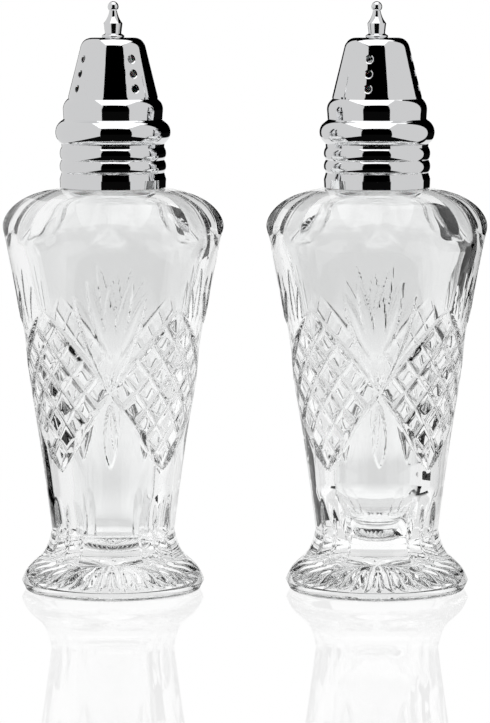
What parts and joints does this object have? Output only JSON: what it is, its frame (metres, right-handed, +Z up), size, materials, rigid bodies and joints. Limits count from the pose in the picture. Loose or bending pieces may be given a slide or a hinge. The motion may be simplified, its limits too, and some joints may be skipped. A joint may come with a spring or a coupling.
{
  "type": "salt and pepper shaker set",
  "caption": "Pair of tall cut-crystal salt and pepper shakers with flared feet and screw-on chrome caps, each with sprinkle holes and a small ball finial.",
  "frame": {"origin": "on the table, midway between the two bottles' axes", "axes": "+Z up along the bottles' axes, -Y to the front, +X from the salt shaker to the pepper shaker"},
  "size_m": [0.116, 0.053, 0.14],
  "materials": {
    "crystal": "polished pressed crystal with cut decoration",
    "plated_cap": "bright mirror plating",
    "plated_finial": "bright mirror plating on a turned finial",
    "insert_plastic": "moulded natural polypropylene",
    "seal_plastic": "soft translucent sealing ring",
    "washer_steel": "stamped steel"
  },
  "bodies": {
    "salt_shaker": {"salt_bottle": "crystal"},
    "salt_seal_ring": {"salt_lip_seal": "seal_plastic"},
    "salt_cap": {"salt_cap_shell": "plated_cap", "salt_thread_insert": "insert_plastic", "salt_finial": "plated_finial", "salt_finial_washer": "washer_steel"},
    "pepper_shaker": {"pepper_bottle": "crystal"},
    "pepper_seal_ring": {"pepper_lip_seal": "seal_plastic"},
    "pepper_cap": {"pepper_cap_shell": "plated_cap", "pepper_thread_insert": "insert_plastic", "pepper_finial": "plated_finial", "pepper_finial_washer": "washer_steel"}
  },
  "joints": [
    {"name": "salt_cap_rise", "type": "slide", "parent": "salt_shaker", "child": "salt_seal_ring", "axis": [0, 0, 1], "range_m": [0, 0.012]},
    {"name": "salt_cap_unscrew", "type": "hinge", "parent": "salt_seal_ring", "child": "salt_cap", "pos_m": [-0.0315, 0, 0.1], "axis": [0, 0, 1], "range_deg": [0, 1440]},
    {"name": "pepper_lift", "type": "slide", "parent": "salt_shaker", "child": "pepper_shaker", "axis": [0, 0, 1], "range_m": [0, 0.1]},
    {"name": "pepper_cap_rise", "type": "slide", "parent": "pepper_shaker", "child": "pepper_seal_ring", "axis": [0, 0, 1], "range_m": [0, 0.012]},
    {"name": "pepper_cap_unscrew", "type": "hinge", "parent": "pepper_seal_ring", "child": "pepper_cap", "pos_m": [0.0315, 0, 0.1], "axis": [0, 0, 1], "range_deg": [0, 1440]}
  ],
  "couplings": [
    {"joint": "salt_cap_rise", "follows": "salt_cap_unscrew", "m_per_rad": 0.00047746},
    {"joint": "pepper_cap_rise", "follows": "pepper_cap_unscrew", "m_per_rad": 0.00047746}
  ]
}
